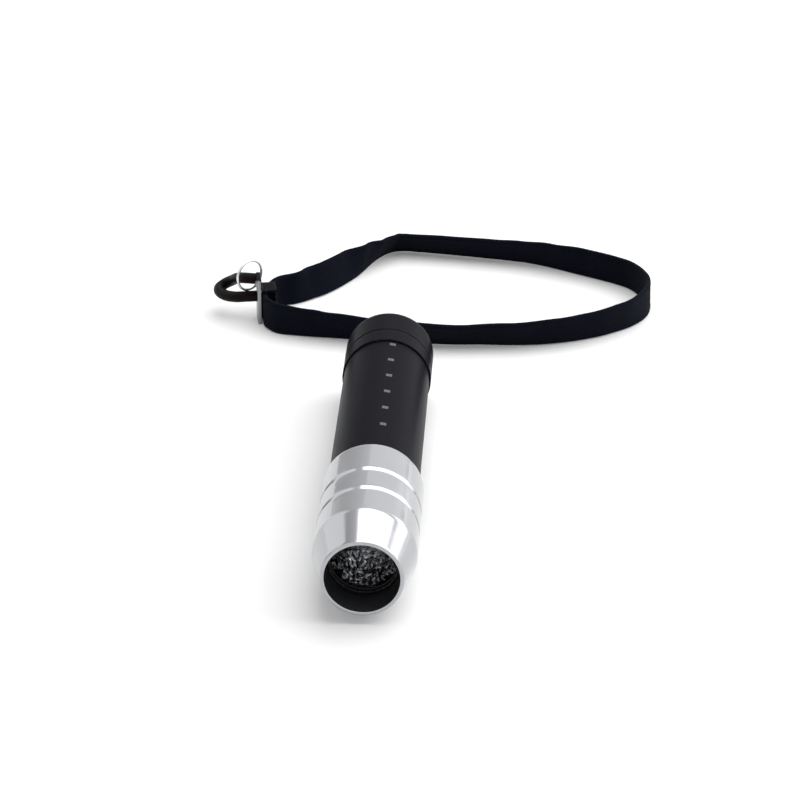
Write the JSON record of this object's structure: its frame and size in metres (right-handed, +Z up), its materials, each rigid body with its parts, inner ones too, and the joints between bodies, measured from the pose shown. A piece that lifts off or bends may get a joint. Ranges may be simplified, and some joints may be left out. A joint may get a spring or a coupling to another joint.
{
  "type": "ultraviolet torch",
  "caption": "Pocket ultraviolet torch with a bright tapered nose, grooved head, black barrel, tail cap with a push switch, and a loose wrist strap.",
  "frame": {"origin": "middle of the underside of the torch where it lies on its head, half way between its mouth and its tail end; the loose strap isn't counted", "axes": "+Y along the torch from the mouth to the tail, +Z up from the surface that it lies on, +X to the right as seen by someone who faces the mouth"},
  "size_m": [0.1274, 0.2253, 0.0253],
  "materials": {
    "bright_aluminium": "fine turned and clear anodised",
    "black_aluminium": "satin black anodised",
    "black_ring": "matt black anodised",
    "reflector_mirror": "bright coating with a dimpled texture",
    "window_glass": "clear and polished",
    "seal_rubber": "smooth moulded",
    "boot_rubber": "matt moulded",
    "white_plastic": "plain",
    "white_board": "white solder mask on an aluminium core",
    "led_silicone": "clear moulded silicone",
    "plain_brass": "turned",
    "red_lead": "extruded insulation",
    "black_lead": "extruded insulation",
    "green_board": "solder mask over glass fibre",
    "coil_copper": "enamelled winding",
    "black_plastic": "moulded",
    "spring_steel": "plated wire",
    "cell_wrap": "heat-shrunk sleeve",
    "plated_steel": "bright plated",
    "strap_webbing": "tight plain weave",
    "crimp_metal": "dark plated, bright at its folds",
    "loop_cord": "stiff waxed cord"
  },
  "bodies": {
    "barrel_body": {"barrel": "black_aluminium", "cell_body": "cell_wrap", "cell_cap": "plated_steel"},
    "head_carrier": {"head_seal": "seal_rubber"},
    "head_body": {"head_shell": "bright_aluminium", "heat_sink": "plain_brass", "led_board": "white_board", "led_package": "white_plastic", "led_dome": "led_silicone", "led_centring_ring": "white_plastic", "reflector": "reflector_mirror", "lead_positive": "red_lead", "lead_negative": "black_lead", "driver_board": "green_board", "driver_coil": "coil_copper", "driver_chip": "black_plastic", "driver_retainer": "plain_brass", "contact_spring": "spring_steel"},
    "window_carrier": {"lens": "window_glass", "lens_gasket": "seal_rubber"},
    "nose_body": {"nose_bezel": "bright_aluminium", "lens_retainer": "black_ring", "bezel_seal": "seal_rubber"},
    "tail_carrier": {"tail_seal": "seal_rubber"},
    "tail_body": {"tail_cap": "black_aluminium", "tail_spring": "spring_steel", "switch_retainer": "plain_brass", "switch_board": "green_board", "switch_body": "black_plastic", "switch_spacer": "black_plastic", "switch_boot": "boot_rubber"},
    "button_body": {"switch_plunger": "black_plastic"},
    "strap_body": {"wrist_strap": "strap_webbing", "strap_crimp": "crimp_metal", "cord_loop": "loop_cord", "loop_ring": "plated_steel"}
  },
  "joints": [
    {"name": "head_travel", "type": "slide", "parent": "barrel_body", "child": "head_carrier", "axis": [0, -1, 0], "range_m": [0, 0.0081]},
    {"name": "head_turn", "type": "hinge", "parent": "head_carrier", "child": "head_body", "pos_m": [0, -0.035, 0.01267], "axis": [0, -1, 0], "range_deg": [0, 2880]},
    {"name": "window_travel", "type": "slide", "parent": "head_body", "child": "window_carrier", "axis": [0, -1, 0], "range_m": [0, 0.0046]},
    {"name": "nose_turn", "type": "hinge", "parent": "window_carrier", "child": "nose_body", "pos_m": [0, -0.055, 0.01267], "axis": [0, -1, 0], "range_deg": [0, 2160]},
    {"name": "tail_travel", "type": "slide", "parent": "barrel_body", "child": "tail_carrier", "axis": [0, 1, 0], "range_m": [0, 0.0051]},
    {"name": "tail_turn", "type": "hinge", "parent": "tail_carrier", "child": "tail_body", "pos_m": [0, 0.055, 0.01267], "axis": [0, 1, 0], "range_deg": [0, 1800]},
    {"name": "switch_press", "type": "slide", "parent": "tail_body", "child": "button_body", "axis": [0, -1, 0], "range_m": [0, 0.0015], "stiffness_N_per_m": 800, "deforming": ["switch_boot"]},
    {"name": "strap_lift", "type": "slide", "parent": "barrel_body", "child": "strap_body", "axis": [0, 0, 1], "range_m": [0, 0.06]}
  ],
  "couplings": [
    {"joint": "head_travel", "follows": "head_turn", "m_per_rad": 0.00015915},
    {"joint": "window_travel", "follows": "nose_turn", "m_per_rad": 0.00011937},
    {"joint": "tail_travel", "follows": "tail_turn", "m_per_rad": 0.00015915}
  ]
}
